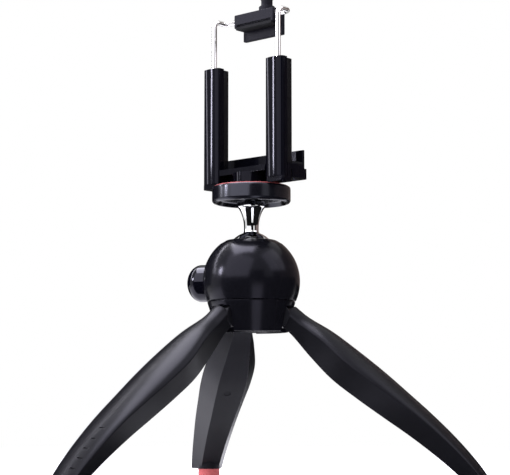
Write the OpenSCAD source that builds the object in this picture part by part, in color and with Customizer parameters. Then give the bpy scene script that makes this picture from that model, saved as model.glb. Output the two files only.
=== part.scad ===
// Pocket tripod with a ball head, a push-button lock and a sprung clamp on top.
// Three bowed legs fold down on pins under a round housing. The clamp's upper jaw
// hangs on a bent wire that two springs pull down into a pair of sleeves.
// Millimetres, Z up, the origin on the ground at the middle of the footprint.

/* [Stance] */
// Turn of the right leg from the line of the jaws, in degrees
leg_turn = 25; // [20:1:30]
// Slope of an open leg below level, in degrees
leg_splay = 40; // [38:1:42]
// Height of the hinge pins above the ground
hinge_z = 83; // [80:0.5:86]

/* [Legs] */
// Half the width of a leg where it is widest
leg_half_w = 13.4; // [12.5:0.1:14]
// Height of a leg's crown above the line from its pin
leg_crown = 12.7; // [11.5:0.1:13.5]
// Depth of a leg's inner face below the same line
leg_depth = 7.3; // [6.5:0.1:7.5]
// Half the width of a leg's flat inner face
leg_flat_w = 8.9; // [8.2:0.1:9.4]
// Radius of the knuckle round a hinge pin
knuckle_r = 5.6; // [5.2:0.1:5.7]
// Width of a knuckle
knuckle_w = 11.8; // [11:0.1:12]
// Distance from the pin at which a leg starts to widen
leg_root = 9; // [8.8:0.1:10]
// Half the height of the neck between a knuckle and its leg
neck_half_h = 4.6; // [4:0.1:5]
// Length of the moulded shape beyond the leg's cut end
leg_tail = 10.7; // [10:0.1:12]
// Height of a leg's cut end above the ground
leg_cut = 5.7; // [5:0.1:6.5]
// Width of the heel round a foot, beyond the foot
heel_rim = 0.95; // [0.7:0.05:1.2]
// Height at which the heel ends inside the leg
heel_rise = 2; // [1:0.1:2.5]

/* [Feet] */
// Radius of a rubber foot
foot_r = 5.85; // [5.4:0.05:6.2]
// Rounding of a foot's lower edge
foot_round = 0.8; // [0.5:0.1:1.2]
// Distance that a foot sits inside the end of its leg's line
foot_inset = 1.6; // [1:0.1:2]
// Radius of the plug that holds a foot in its leg
plug_r = 4; // [3.5:0.1:4.2]
// Length of that plug
plug_h = 4.8; // [4:0.1:5]

/* [Hinges] */
// Radius of a hinge pin
hinge_pin_r = 1.5; // [1.3:0.05:1.6]
// Distance of a hinge pin inside the rim of the hub's lower face
hinge_inset = 2.5; // [2.3:0.1:2.7]
// Plastic left over the ends of a hinge pin
pin_cover = 0.25; // [0.2:0.05:0.6]
// Play between a hinge pin and its knuckle
hinge_play = 0.05; // [0.03:0.01:0.08]
// Play on each side of a knuckle in its slot
slot_play = 0.3; // [0.2:0.05:0.4]
// Distance of a slot's inner end behind its hinge pin
slot_inset = 7; // [6.7:0.1:7.2]

/* [Lower hub] */
// Drop of the hub's lower face below the hinge pins
hub_drop = 7.5; // [7:0.1:8]
// Radius of the hub's lower face, as a share of the shell's radius
hub_share = 0.76; // [0.75:0.002:0.776]
// Radius of the hub's waist, as a share of the shell's radius
waist_share = 0.84; // [0.828:0.002:0.852]
// Distance of the waist below the seam
hub_waist_drop = 4.1; // [3.5:0.1:4.5]
// Web left between a slot and the seam
slot_web = 0.5; // [0.4:0.1:0.8]
// Thickness of the hub's floor above the slots
floor_t = 1.5; // [1.2:0.1:1.8]
// Wall between the pocket in the middle of the hub and the slots
core_wall = 1.5; // [1.4:0.1:2.4]
// Solid left over that pocket
core_roof = 1.9; // [1.5:0.1:3]
// Width of the hub's rim round the bottom cap
cap_rim = 0.8; // [0.7:0.05:1]
// Thickness of the bottom cap
cap_t = 1.5; // [1.3:0.1:1.8]
// Clearance round the bottom cap
cap_gap = 0.1; // [0.1:0.05:0.2]

/* [Upper shell] */
// Outer radius of the round shell
shell_r = 23.7; // [23.5:0.1:24.2]
// Wall of the shell
shell_wall = 2.2; // [1.9:0.1:2.4]
// Drop of the seam below the shell's centre
seam_drop = 10.1; // [9.8:0.1:10.4]
// Height of the flat top above the shell's centre, as a share of the shell's radius
top_share = 0.886; // [0.874:0.002:0.894]
// Clearance between the ball and the shell's mouth
mouth_gap = 0.35; // [0.3:0.05:0.5]
// Radius of a screw boss
boss_r = 2.6; // [2.3:0.1:2.8]
// Length of a screw boss
boss_h = 6.6; // [6:0.1:7]
// Thickness of the ribs that carry the bosses and the seat
rib_t = 1.6; // [1.4:0.1:2]

/* [Housing screws] */
// Distance of a housing screw inside the rim of the hub's lower face
screw_inset = 2; // [1.8:0.1:2.2]
// Radius of a housing screw
screw_r = 1.25; // [1.1:0.05:1.3]
// Radius of its head
screw_head_r = 2.3; // [2.1:0.1:2.4]
// Height of its head
screw_head_h = 2; // [1.6:0.1:2.2]
// Length of its shank
screw_l = 17; // [16.5:0.1:17.5]

/* [Ball and stem] */
// Radius of the ball, as a share of the shell's radius
ball_share = 0.519; // [0.511:0.001:0.523]
// Height of the ball's centre above the shell's centre, as a share of the shell's radius
ball_rise_share = 0.536; // [0.528:0.002:0.544]
// Play round the ball
ball_play = 0.05; // [0.04:0.01:0.08]
// Radius of the stem's neck
neck_r = 3.75; // [3.6:0.05:4]
// Radius of the stem where it flares out
flare_r = 6.6; // [6.2:0.1:6.8]
// Height of the neck's end above the ball's centre
neck_h = 16.2; // [15.5:0.1:17]
// Height of the stem's flange
flange_h = 4.5; // [4:0.1:4.8]
// Radius of the stem's flange
flange_r = 6.9; // [6.9:0.1:7.3]
// Height of the stem's end above the ball's centre
stem_h = 28.8; // [28:0.1:29.5]
// Radius of the thread bore in the stem
thread_bore_r = 3.15; // [3.14:0.01:3.17]
// Depth of that bore
thread_bore_h = 7.5; // [7:0.1:8]

/* [Ball lock] */
// Wall of the seat beside the ball
seat_wall = 1.7; // [1.6:0.1:1.8]
// Distance of the seat's rim below the ball's centre
seat_drop = 1.7; // [1.3:0.1:2.3]
// Thickness of the seat under the ball
seat_floor = 1.65; // [1.5:0.05:1.8]
// Distance of the collar's edge outside the ball's radius
collar_w = 2.7; // [2.5:0.1:3]
// Height of the collar's lower face above the ball's centre
collar_rise = 0.4; // [0.3:0.1:0.8]
// Height of the collar
collar_h = 3.6; // [3:0.1:3.7]
// Distance of the edge of the plate under the seat inside the ball's radius
plate_inset = 4.3; // [4.1:0.1:4.8]
// Thickness of that plate with its foot
plate_t = 2.7; // [2.5:0.1:2.9]
// Reach of the land that holds the plate up
land_l = 3; // [2.6:0.1:3.2]
// Distance from the centre line to that land
land_start = 2.5; // [2.2:0.1:2.8]
// Height of that land
land_h = 0.8; // [0.6:0.1:0.9]
// Thickness of the lock's arm beside the land
arm_t = 1.5; // [1.3:0.1:1.6]
// Half the width of that arm
arm_half_w = 2.8; // [2.5:0.1:2.9]
// Distance that the arm runs on past the centre line
arm_tail = 3; // [2:0.1:4]
// Small gap between sliding faces
slide_gap = 0.1; // [0.08:0.01:0.15]

/* [Button] */
// Shell left between the release button and the seam
button_web = 1.3; // [1.25:0.05:1.5]
// Clearance round the button
button_gap = 0.2; // [0.15:0.05:0.25]
// Wall of the button
button_wall = 1.5; // [1.3:0.1:1.6]
// Height of the button's centre above the shell's centre
button_rise = 0.3; // [0.2:0.1:0.5]
// Distance of the button's inner edge inside the shell's radius
button_inset = 4.7; // [4.5:0.1:4.8]
// Distance of the button's rim outside the shell's radius
button_proud = 1.7; // [1.3:0.1:2.3]
// Height of the button's dome
button_dome = 7; // [6:0.1:7.5]
// Thickness behind the dome
button_face_t = 1; // [0.8:0.1:1.2]
// Travel of the button
button_travel = 3; // [2.5:0.1:3]
// Radius of the button's spring
button_spring_r = 3.2; // [3:0.1:3.4]
// Wire of the button's spring
button_spring_t = 0.8; // [0.6:0.1:0.9]
// Radius of the peg inside that spring
peg_r = 2.2; // [2:0.1:2.3]
// Length of that peg
peg_l = 4.4; // [3.5:0.1:4.8]
// Clearance between the seat and the spring's post
post_gap = 0.4; // [0.3:0.1:0.5]
// Thickness of the spring's post
post_t = 1.4; // [1.2:0.1:1.5]
// Width of the spring's post
post_w = 8; // [7.4:0.1:8.4]
// Height of the spring's post above the button's centre
post_rise = 4; // [3.6:0.1:4.4]

/* [Head plate] */
// Radius of the head plate
head_r = 19.25; // [18.5:0.05:20]
// Thickness of the head plate at its middle
head_t = 5; // [4.5:0.1:5.5]
// Length of its skirt below the stem's end
skirt_h = 2.6; // [2:0.1:3]
// Wall of that skirt
skirt_wall = 2.1; // [1.8:0.1:2.4]
// Slope inside the skirt
skirt_draft = 0.6; // [0.4:0.1:0.8]
// Rounding of the head plate's lower edge
head_round = 1.6; // [1.2:0.1:1.8]
// Thickness of the rubber pad on the head plate
pad_t = 0.8; // [0.6:0.1:1.2]
// Distance of the pad's edge inside the head plate's edge
pad_inset = 0.35; // [0.2:0.05:0.6]
// Radius of the threaded stud
stud_r = 3.1; // [3.09:0.01:3.12]
// Length of the stud inside the stem
stud_grip = 7; // [6:0.1:7.2]
// Clearance over the stud's upper end
stud_gap = 0.3; // [0.2:0.1:0.5]
// Chamfer of the stud's ends
stud_chamfer = 0.5; // [0.3:0.1:0.8]

/* [Clamp base] */
// Radius of the base's round boss
base_boss_r = 9; // [8.5:0.1:9.5]
// Height of that boss
base_boss_h = 6; // [5.5:0.1:6.5]
// Radius of the brass insert
insert_r = 5; // [4.6:0.1:5.4]
// Thickness of the base's bridge
bridge_t = 2.8; // [2.5:0.1:3.2]
// Half the width of the base
base_half_w = 26.5; // [26.5:0.1:27.5]
// Distance of the ledge in front of the centre line
ledge_y = 0.3; // [0.2:0.05:0.4]
// Reach of the ledge in front of the sleeves
ledge_l = 9; // [8.6:0.1:9.4]
// Height of the ledge's lower face above the bridge's lower face, downwards
ledge_drop = 3.8; // [3:0.1:4.2]
// Height of the ledge above the bridge
ledge_rise = 0.3; // [0.2:0.1:0.6]
// Thickness of the pad on the ledge
base_pad_t = 1; // [0.8:0.1:1.2]
// Thickness of the lip in front of the ledge
lip_t = 1.4; // [1.2:0.1:1.6]
// Height of that lip above the ledge
lip_h = 7.1; // [6:0.1:8]
// Reach of the toe under the lip
toe_l = 2.1; // [1.5:0.1:2.5]
// Height of that toe
toe_h = 5; // [4:0.1:6]
// Rounding of the clamp's corners
corner_r = 1.4; // [1:0.1:1.5]
// Rounding of its thin lips and pads
lip_round = 0.5; // [0.3:0.1:0.55]

/* [Sleeves] */
// Distance of the middle of a sleeve inside the end of the base
sleeve_inset = 5.6; // [5.5:0.1:5.8]
// Width of a sleeve
sleeve_w = 11; // [10.6:0.1:11.2]
// Depth of a sleeve at its edges
sleeve_d = 7; // [6.6:0.1:7.2]
// Bulge of a sleeve's rear face
sleeve_bulge = 0.9; // [0.7:0.1:1.1]
// Height of a sleeve
sleeve_h = 51.8; // [48:0.1:56]
// Thickness of the cover on a sleeve's front
cover_t = 3.4; // [3.2:0.1:3.5]
// Distance that a cover ends below its sleeve
cover_step = 0.7; // [0.4:0.1:1]
// Radius of the channel for the spring
channel_r = 2.7; // [2.6:0.05:2.75]

/* [Bail] */
// Radius of the bail's wire
wire_r = 1.3; // [1.2:0.05:1.35]
// Distance of a rod of the bail outside the middle of its sleeve
rod_shift = 0.4; // [0.3:0.1:0.5]
// Distance of the rods behind the sleeves' front
rod_y = 4.3; // [4.2:0.05:4.35]
// Height of a rod's lower end above the sleeve's lower end
rod_start = 12.4; // [12.4:0.1:14]
// Radius of the bail's bends
bend_r = 3; // [2.8:0.1:3.2]
// Radius of the stops on the rods
stop_r = 2.5; // [2.4:0.05:2.55]
// Height of those stops
stop_h = 3; // [2.5:0.1:3.5]
// Outer radius of the springs on the rods
spring_r = 2.4; // [2.3:0.05:2.45]
// Play between rod and bush, and round the wire in the jaw
wire_play = 0.05; // [0.03:0.01:0.08]
// Height of a bush inside its sleeve
bush_h = 4.4; // [4:0.1:5]
// Radius of a bush's collar
bush_collar_r = 3; // [2.8:0.1:3.1]
// Height of that collar
bush_collar_h = 0.8; // [0.6:0.1:1]
// Clearance between the springs and what they go round or into
spring_gap = 0.2; // [0.15:0.05:0.25]

/* [Upper jaw] */
// Gap between the lower pad and the upper pad at rest
grip_gap = 70.5; // [67:0.1:73]
// Half the width of the upper jaw
jaw_half_w = 13; // [12:0.1:14]
// Distance of the jaw's rear face in front of the sleeves
jaw_y = 1.3; // [1.1:0.1:1.5]
// Depth of the jaw
jaw_d = 9.2; // [8.8:0.1:9.6]
// Height of the jaw's bar
jaw_h = 6.3; // [6:0.1:7]
// Rounding of the jaw's upright edges
jaw_corner_r = 2; // [1.5:0.1:2.2]
// Thickness of the jaw's lip
jaw_lip_t = 2.4; // [2:0.1:2.6]
// Depth of the jaw's lip below the bar
jaw_lip_h = 7.5; // [6:0.1:9]
// Thickness of the jaw's pad
jaw_pad_t = 2.6; // [2.2:0.1:3]
// Distance of the wire's axis in front of the jaw's rear face
wire_inset = 3.1; // [2.9:0.1:3.3]
// Distance of the wire's axis above the bar's lower face
wire_rise = 2.2; // [2.1:0.1:2.3]

/* [Pull knob] */
// Distance of the knob from the middle of the jaw
knob_x = 4.5; // [0:0.5:5]
// Distance of the knob's axis in front of the jaw's rear face
knob_y = 5.2; // [4.8:0.1:5.6]
// Radius of the knob's foot
knob_foot_r = 4; // [3.6:0.1:4.4]
// Height of the knob's foot
knob_foot_h = 1.2; // [0.8:0.1:1.6]
// Radius of the knob's neck
knob_neck_r = 2.85; // [2.5:0.05:3.2]
// Height of the knob's neck
knob_neck_h = 3.6; // [3:0.1:4.2]
// Radius of the knob's head
knob_head_r = 5; // [4.5:0.1:5.5]
// Height of the knob's head
knob_head_h = 6.4; // [5.5:0.1:7]
// Radius of the knob's spigot in the jaw
knob_spigot_r = 2; // [1.6:0.1:2.2]
// Length of that spigot
knob_spigot_h = 2; // [1.6:0.1:2.2]

/* [Clamp screws] */
// Radius of a clamp screw
clamp_screw_r = 0.9; // [0.8:0.05:1]
// Radius of its head
clamp_head_r = 1.6; // [1.4:0.1:1.7]
// Height of its head
clamp_head_h = 1.6; // [1.2:0.1:1.8]
// Length of its shank
clamp_screw_l = 13; // [12:0.1:14]
// Depth of its head above the base's lower face
clamp_screw_sink = 0.5; // [0.3:0.1:0.8]
// Distance of the screws inside the middle of a sleeve
clamp_screw_inset = 3.8; // [3.6:0.1:3.9]

/* [Hidden] */
$fn = 96;

// Overrun of every cut past the face that it opens
cut = 1;
// Overlap of pieces that are moulded as one
bite = 0.4;
// Play between pieces that are pressed or screwed together
press_fit = 0.02;
// Clearance round a screw
screw_gap = 0.1;
// Clearance of the seat and the plate between their guides
guide_gap = 0.3;
// Clearance between the shell and what lies against its inside
shell_gap = 0.2;
// Wall of the guides beside the lock's arm and the plate
guide_wall = 1.2;
// Length of the guides beside the plate
guide_l = 8;
// Distance from an insert's end to its chamfer's end
insert_chamfer = 0.4;

// Angles of the right, back and front legs, and of the button opposite the right leg
leg_angles = [leg_turn, leg_turn + 120, leg_turn + 240];
button_angle = leg_turn + 180;
screw_angles = [leg_turn + 60, leg_turn + 300];

// Heights of the housing, worked up from the hinge pins
hub_bottom_z = hinge_z - hub_drop;
slot_top_z = hinge_z + knuckle_r + slot_play;
slot_w = knuckle_w + 2 * slot_play;
seam_z = slot_top_z + slot_web;
floor_z = slot_top_z + floor_t;
shell_z = seam_z + seam_drop;
top_z = shell_z + shell_r * top_share;

// Radii of the housing, worked in from the shell
shell_in_r = shell_r - shell_wall;
seam_r = sqrt(pow(shell_r, 2) - pow(seam_drop, 2));
spigot_r = sqrt(pow(shell_in_r, 2) - pow(seam_drop, 2)) - shell_gap;
hub_bottom_r = shell_r * hub_share;
hub_waist_r = shell_r * waist_share;
waist_z = seam_z - hub_waist_drop;
cap_r = hub_bottom_r - cap_rim;
screw_reach = hub_bottom_r - screw_inset;
hinge_reach = hub_bottom_r - hinge_inset;
slot_start = hinge_reach - slot_inset;
core_r = slot_start - core_wall;

// The hub's radius beside a hinge pin, and the pin's length inside it
hub_hinge_r = hub_bottom_r + (hub_waist_r - hub_bottom_r) * hub_drop / (waist_z - hub_bottom_z);
hinge_pin_l = 2 * (sqrt(pow(hub_hinge_r, 2) - pow(hinge_reach + hinge_pin_r, 2)) - pin_cover);

// The ball and its lock, worked down from the ball to the rails on the floor
ball_r = shell_r * ball_share;
ball_z = shell_z + shell_r * ball_rise_share;
cup_r = ball_r + ball_play;
seat_r = ball_r + seat_wall;
plate_r = ball_r - plate_inset;
seat_z = ball_z - cup_r - seat_floor;
seat_top_z = ball_z - seat_drop;
plate_top_z = seat_z - shell_gap;
plate_z = plate_top_z - plate_t;
land_z = plate_z - slide_gap;
arm_z = land_z - land_h - arm_t;
rail_h = arm_z - slide_gap - floor_z;
collar_z = ball_z + collar_rise;
stem_top_z = ball_z + stem_h;

// The button and the post behind it
button_z = shell_z + button_rise;
button_r = seam_drop + button_rise - button_web;
button_in_r = button_r - button_wall;
button_start = shell_r - button_inset;
button_rim = shell_r + button_proud;
button_face = button_rim - button_face_t;
post_start = seat_r + post_gap;

// Heights of the head plate and the clamp
head_top_z = stem_top_z + head_t;
clamp_z = head_top_z + pad_t;
bridge_z = clamp_z + base_boss_h;
sleeve_z = bridge_z + bridge_t;
sleeve_top_z = sleeve_z + sleeve_h;
ledge_z = sleeve_z + ledge_rise;
grip_z = ledge_z + base_pad_t;
jaw_pad_z = grip_z + grip_gap;
jaw_z = jaw_pad_z + jaw_pad_t;
jaw_top_z = jaw_z + jaw_h;
wire_z = jaw_z + wire_rise;
wire_y = jaw_y + wire_inset;
rod_z = sleeve_z + rod_start;
stop_top_z = rod_z + stop_h;
bush_z = sleeve_top_z - bush_h;
lip_y = ledge_y + ledge_l - lip_t;
sleeve_x = base_half_w - sleeve_inset;
rod_x = sleeve_x + rod_shift;

// Length of a leg's moulded shape, and the distance from the centre line to a foot
leg_length = (hinge_z - leg_cut) / sin(leg_splay) + leg_tail;
foot_reach = hinge_reach + (hinge_z - leg_cut) / tan(leg_splay) - foot_inset;

// The leg's shape at even steps from its root to its tail, as shares of its sizes
width_shares = [0, 0.51, 0.95, 1, 0.88, 0.75, 0.60, 0.45, 0.31];
crown_shares = [0.42, 0.66, 0.87, 0.98, 1, 1, 0.91, 0.69, 0.30];
edge_shares = [0.12, 0.25, 0.27, 0.38, 0.50, 0.60, 0.62, 0.47, 0.16];
depth_shares = [0.60, 0.84, 1, 0.82, 0.60, 0.44, 0.40, 0.45, 0.68];
flat_shares = [0.52, 0.74, 0.99, 1, 0.92, 0.84, 0.76, 0.70, 0.63];

// Steps along a leg and round its crown
leg_steps = 24;
crown_steps = 10;
// Finer steps for the footprint
reach_steps = 120;

// A smooth curve through a list of shares, with t from 0 to 1
function along(shares, t) =
    let (
        last = len(shares) - 1,
        x = t * last,
        i = min(floor(x), last - 1),
        f = x - i,
        a = shares[max(i - 1, 0)],
        b = shares[i],
        c = shares[i + 1],
        d = shares[min(i + 2, last)]
    )
    b + f * (c - a + f * (2 * a - 5 * b + 4 * c - d + f * (3 * (b - c) + d - a))) / 2;

function leg_x(t) = leg_root + (leg_length - leg_root) * t;

function leg_w(t) = knuckle_w / 2 + (leg_half_w - knuckle_w / 2) * along(width_shares, t);

// One outline across a leg: the arc of its crown, then its flat inner face
function leg_ring(t) =
    let (
        w = leg_w(t),
        edge = leg_crown * along(edge_shares, t),
        rise = leg_crown * along(crown_shares, t) - edge,
        depth = leg_depth * along(depth_shares, t),
        flat_w = leg_flat_w * along(flat_shares, t)
    )
    concat(
        [for (i = [0:crown_steps]) [w * cos(180 * i / crown_steps), edge + rise * sin(180 * i / crown_steps)]],
        [[-flat_w, -depth], [flat_w, -depth]]
    );

// The distance from the centre line, and the height, of a point on a leg
function reach_of(x, h) = hinge_reach + x * cos(leg_splay) + h * sin(leg_splay);
function height_of(x, h) = hinge_z - x * sin(leg_splay) + h * cos(leg_splay);

// Places of all the points of the open legs above their cut ends, seen from above
footprint = [
    for (a = leg_angles, k = [0:reach_steps])
        let (t = k / reach_steps)
        for (p = leg_ring(t))
            if (height_of(leg_x(t), p[1]) >= leg_cut)
                let (r = reach_of(leg_x(t), p[1]))
                [r * cos(a) - p[0] * sin(a), r * sin(a) + p[0] * cos(a)]
];
footprint_x = [for (p = footprint) p[0]];
footprint_y = [for (p = footprint) p[1]];
centre_x = -(max(footprint_x) + min(footprint_x)) / 2;
centre_y = -(max(footprint_y) + min(footprint_y)) / 2;

plastic = [0.12, 0.12, 0.13];
gloss = [0.05, 0.05, 0.06];
rubber = [0.85, 0.30, 0.27];
steel = [0.75, 0.76, 0.78];
brass = [0.80, 0.62, 0.30];
grey = [0.30, 0.31, 0.34];

// Moves a piece to the tripod's centre line
module on_centre() {
    translate([centre_x, centre_y, 0]) children();
}

// Turns a piece's X axis to an angle round the centre line
module toward(angle) {
    on_centre() rotate([0, 0, angle]) children();
}

// Lays a round piece along the button's axis, measured from the centre line
module along_button(start) {
    toward(button_angle) translate([start, 0, button_z]) rotate([0, 90, 0]) children();
}

// A plate with round upright edges, its corner at the origin
module rounded_plate(size, r) {
    linear_extrude(size[2]) {
        translate([r, 0]) square([size[0] - 2 * r, size[1]]);
        translate([0, r]) square([size[0], size[1] - 2 * r]);
        for (x = [r, size[0] - r], y = [r, size[1] - r]) translate([x, y]) circle(r = r);
    }
}

// The slots that the legs fold into, cut from below
module leg_slots(w) {
    for (a = leg_angles) rotate([0, 0, a])
        translate([slot_start, -w / 2, hub_bottom_z - cut])
            cube([shell_r, w, slot_top_z - hub_bottom_z + cut]);
}

// Upright holes for the housing screws
module screw_holes(r, z, h) {
    for (a = screw_angles) rotate([0, 0, a])
        translate([screw_reach, 0, z]) cylinder(r = r, h = h);
}

module upper_shell() color(plastic) {
    on_centre() difference() {
        translate([0, 0, shell_z]) sphere(r = shell_r);
        translate([0, 0, shell_z]) sphere(r = shell_in_r);
        translate([-shell_r, -shell_r, seam_z - 2 * shell_r]) cube(2 * shell_r);
        translate([-shell_r, -shell_r, top_z]) cube(2 * shell_r);
        translate([0, 0, ball_z]) sphere(r = ball_r + mouth_gap);
        rotate([0, 0, button_angle]) translate([0, 0, button_z]) rotate([0, 90, 0])
            cylinder(r = button_r + button_gap, h = shell_r + cut);
    }
    // Screw bosses and the ribs that hold them
    on_centre() difference() {
        intersection() {
            for (a = screw_angles) rotate([0, 0, a]) {
                translate([screw_reach, 0, floor_z]) cylinder(r = boss_r, h = boss_h);
                translate([screw_reach, -rib_t / 2, floor_z]) cube([shell_r, rib_t, boss_h]);
            }
            translate([0, 0, shell_z]) sphere(r = shell_in_r + bite);
        }
        screw_holes(screw_r + press_fit, floor_z - cut, boss_h + cut);
    }
    // Ribs that guide the seat under the ball
    on_centre() intersection() {
        for (a = leg_angles) rotate([0, 0, a])
            translate([seat_r + guide_gap, -rib_t / 2, seat_z])
                cube([shell_r, rib_t, seat_top_z - seat_z]);
        translate([0, 0, shell_z]) sphere(r = shell_in_r + bite);
    }
}

module lower_shell() color(plastic) {
    cap_top_z = hub_bottom_z + cap_t;
    on_centre() difference() {
        rotate_extrude() polygon([
            [0, hub_bottom_z],
            [hub_bottom_r, hub_bottom_z],
            [hub_waist_r, waist_z],
            [seam_r, seam_z],
            [spigot_r, seam_z],
            [spigot_r, floor_z],
            [0, floor_z]
        ]);
        leg_slots(slot_w);
        translate([0, 0, hub_bottom_z - cut]) cylinder(r = cap_r + cap_gap, h = cap_t + cut);
        translate([0, 0, cap_top_z - cut]) cylinder(r = core_r, h = slot_top_z - core_roof - cap_top_z + cut);
        for (a = leg_angles) rotate([0, 0, a])
            translate([hinge_reach, 0, hinge_z]) rotate([90, 0, 0])
                cylinder(r = hinge_pin_r + press_fit, h = hinge_pin_l + 2 * screw_gap, center = true);
        screw_holes(screw_r + screw_gap, cap_top_z, floor_z - cap_top_z + cut);
        screw_holes(screw_head_r + screw_gap, cap_top_z - cut, screw_head_h + cut);
    }
    // Rails and cheeks for the lock's arm, the spring's post with its window, and the plate's guides
    toward(button_angle) {
        cheek_y = arm_half_w + slide_gap;
        for (side = [-1, 1]) {
            translate([-arm_tail, side * (cheek_y + guide_wall / 2) - guide_wall / 2, floor_z - bite])
                cube([post_start + arm_tail, guide_wall, rail_h + arm_t / 2 + bite]);
            translate([-guide_l / 2, side * (plate_r + guide_gap + guide_wall / 2) - guide_wall / 2, floor_z - bite])
                cube([guide_l, guide_wall, plate_top_z - floor_z + bite]);
        }
        translate([-arm_tail, -cheek_y - bite, floor_z - bite])
            cube([post_start + arm_tail + bite, 2 * (cheek_y + bite), rail_h + bite]);
        difference() {
            translate([post_start, -post_w / 2, floor_z - bite])
                cube([post_t, post_w, button_z + post_rise - floor_z + bite]);
            translate([post_start - cut, -cheek_y, floor_z + rail_h])
                cube([post_t + 2 * cut, 2 * cheek_y, arm_t + 2 * slide_gap]);
        }
    }
}

module bottom_cap() color(plastic) on_centre() difference() {
    translate([0, 0, hub_bottom_z]) cylinder(r = cap_r, h = cap_t);
    leg_slots(slot_w);
}

module shell_screws() color(steel) on_centre() {
    head_z = hub_bottom_z + cap_t;
    screw_holes(screw_head_r, head_z, screw_head_h);
    screw_holes(screw_r, head_z + screw_head_h, screw_l);
}

module ball_collar() color(grey) on_centre() difference() {
    intersection() {
        translate([0, 0, collar_z]) cylinder(r = ball_r + collar_w, h = collar_h);
        translate([0, 0, shell_z]) sphere(r = shell_in_r - shell_gap);
    }
    translate([0, 0, ball_z]) sphere(r = cup_r);
}

module ball_seat() color(grey) on_centre() difference() {
    translate([0, 0, seat_z]) cylinder(r = seat_r, h = seat_top_z - seat_z);
    translate([0, 0, ball_z]) sphere(r = cup_r);
}

// A round plate with a foot that rests on the arm's land
module pressure_plate() color(steel) toward(button_angle) intersection() {
    translate([0, 0, plate_z]) cylinder(r = plate_r, h = plate_top_z - plate_z);
    translate([0, plate_r, 0]) rotate([90, 0, 0]) linear_extrude(2 * plate_r) polygon([
        [-plate_r, plate_z + land_h],
        [land_start - land_h, plate_z + land_h],
        [land_start, plate_z],
        [land_start + land_l, plate_z],
        [land_start + land_l + land_h, plate_z + land_h],
        [plate_r, plate_z + land_h],
        [plate_r, plate_top_z],
        [-plate_r, plate_top_z]
    ]);
}

// The arm that the button pushes, with its land and its upright tab
module lock_slide() color(steel) toward(button_angle) {
    translate([-arm_tail, -arm_half_w, arm_z]) cube([button_face + arm_tail, 2 * arm_half_w, arm_t]);
    translate([land_start, -arm_half_w, arm_z]) cube([land_l, 2 * arm_half_w, arm_t + land_h]);
    translate([button_face - button_wall, -arm_half_w, arm_z])
        cube([button_wall, 2 * arm_half_w, button_z - button_spring_r - spring_gap - arm_z]);
}

module release_button() color(gloss) {
    dome_r = (pow(button_r, 2) + pow(button_dome, 2)) / (2 * button_dome);
    along_button(0) difference() {
        union() {
            translate([0, 0, button_start]) cylinder(r = button_r, h = button_rim - button_start);
            intersection() {
                translate([0, 0, button_rim + button_dome - dome_r]) sphere(r = dome_r);
                translate([0, 0, button_face]) cylinder(r = button_r, h = button_face_t + button_dome);
            }
        }
        translate([0, 0, button_start - cut]) cylinder(r = button_in_r, h = button_face - button_start + cut);
    }
    along_button(button_face - peg_l) cylinder(r = peg_r, h = peg_l + bite);
}

module button_spring() color(steel) along_button(post_start + post_t) difference() {
    spring_l = button_face - post_start - post_t;
    cylinder(r = button_spring_r, h = spring_l);
    translate([0, 0, -cut]) cylinder(r = button_spring_r - button_spring_t, h = spring_l + 2 * cut);
}

// The ball with its necked and flared stem, bored for the stud
module ball_stem() color(steel) on_centre() {
    flare_steps = 10;
    flare_h = stem_h - flange_h - neck_h;
    difference() {
        union() {
            translate([0, 0, ball_z]) sphere(r = ball_r);
            translate([0, 0, ball_z]) rotate_extrude() polygon(concat(
                [[0, 0], [neck_r, 0], [neck_r, neck_h]],
                [for (i = [1:flare_steps]) let (a = 90 * i / flare_steps) [
                    neck_r + (flare_r - neck_r) * (1 - cos(a)),
                    neck_h + flare_h * sin(a)
                ]],
                [[flange_r, stem_h - flange_h], [flange_r, stem_h], [0, stem_h]]
            ));
        }
        translate([0, 0, stem_top_z - thread_bore_h]) cylinder(r = thread_bore_r, h = thread_bore_h + cut);
    }
}

module platform() color(plastic) on_centre() {
    inner_r = head_r - skirt_wall;
    round_steps = 6;
    translate([0, 0, stem_top_z]) rotate_extrude() polygon(concat(
        [[thread_bore_r, 0], [inner_r - skirt_draft, 0], [inner_r, -skirt_h]],
        [for (i = [0:round_steps]) let (a = 90 * i / round_steps) [
            head_r - head_round * (1 - sin(a)),
            head_round * (1 - cos(a)) - skirt_h
        ]],
        [[head_r, head_t], [thread_bore_r, head_t]]
    ));
}

module platform_pad() color(rubber) on_centre() difference() {
    translate([0, 0, head_top_z]) cylinder(r = head_r - pad_inset, h = pad_t);
    translate([0, 0, head_top_z - cut]) cylinder(r = thread_bore_r, h = pad_t + 2 * cut);
}

module mount_screw() color(steel) on_centre() {
    stud_h = stud_grip + bridge_z - stud_gap - stem_top_z;
    translate([0, 0, stem_top_z - stud_grip]) rotate_extrude() polygon([
        [0, 0],
        [stud_r - stud_chamfer, 0],
        [stud_r, stud_chamfer],
        [stud_r, stud_h - stud_chamfer],
        [stud_r - stud_chamfer, stud_h],
        [0, stud_h]
    ]);
}

// The bowed shape of a leg, along X from its pin
module leg_blade() {
    ring_n = crown_steps + 3;
    points = [
        for (k = [0:leg_steps])
            for (p = leg_ring(k / leg_steps)) [leg_x(k / leg_steps), p[0], p[1]]
    ];
    sides = [
        for (k = [0:leg_steps - 1], i = [0:ring_n - 1])
            let (a = k * ring_n + i, b = k * ring_n + (i + 1) % ring_n)
            each [[a, a + ring_n, b + ring_n], [a, b + ring_n, b]]
    ];
    root_face = [[for (i = [0:ring_n - 1]) i]];
    tail_face = [[for (i = [0:ring_n - 1]) (leg_steps + 1) * ring_n - 1 - i]];
    polyhedron(points = points, faces = concat(sides, root_face, tail_face));
}

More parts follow.
